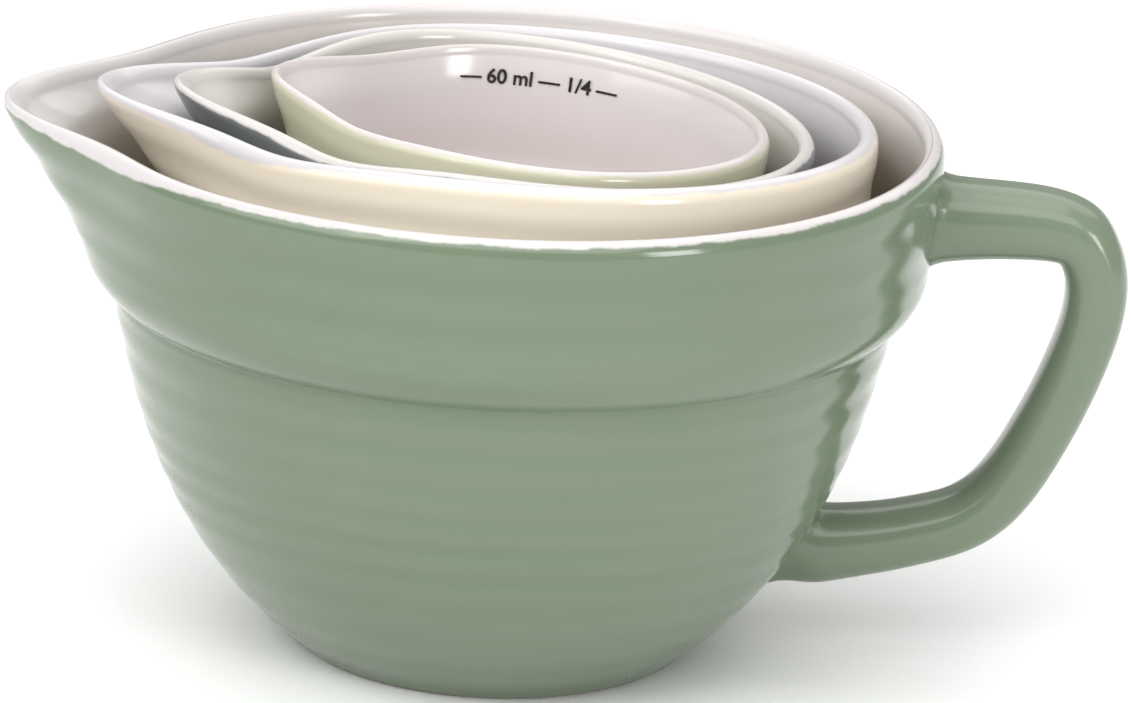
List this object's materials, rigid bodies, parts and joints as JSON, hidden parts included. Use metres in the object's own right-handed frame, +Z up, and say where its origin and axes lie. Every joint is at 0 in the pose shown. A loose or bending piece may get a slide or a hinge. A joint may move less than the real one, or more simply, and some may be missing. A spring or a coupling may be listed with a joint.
{
  "type": "measuring cup set",
  "caption": "Nesting stoneware measuring cups shaped like small batter bowls, each with a pouring spout, the largest with a strap handle.",
  "frame": {"origin": "centre of the outermost cup's foot, on the surface that it stands on", "axes": "+Z up along the outermost cup's axis, +X towards the handle, -X towards the pouring spouts"},
  "size_m": [0.1328, 0.1016, 0.0681],
  "materials": {
    "green_glaze": "gloss",
    "cream_glaze": "gloss",
    "slate_glaze": "gloss",
    "pale_yellow_glaze": "gloss",
    "white_glaze": "gloss",
    "bare_clay": "matte",
    "mark_black": "gloss"
  },
  "bodies": {
    "one_cup": {"one_cup_bowl": "green_glaze", "one_cup_handle": "green_glaze", "one_cup_mark": "mark_black"},
    "half_cup": {"half_cup_bowl": "cream_glaze", "half_cup_mark": "mark_black"},
    "third_cup": {"third_cup_bowl": "slate_glaze", "third_cup_mark": "mark_black"},
    "quarter_cup": {"quarter_cup_bowl": "pale_yellow_glaze", "quarter_cup_mark": "mark_black"}
  },
  "joints": [
    {"name": "half_cup_lift", "type": "slide", "parent": "one_cup", "child": "half_cup", "axis": [0, 0, 1], "range_m": [0, 0.075]},
    {"name": "third_cup_lift", "type": "slide", "parent": "half_cup", "child": "third_cup", "axis": [0, 0, 1], "range_m": [0, 0.07]},
    {"name": "quarter_cup_lift", "type": "slide", "parent": "third_cup", "child": "quarter_cup", "axis": [0, 0, 1], "range_m": [0, 0.065]}
  ]
}
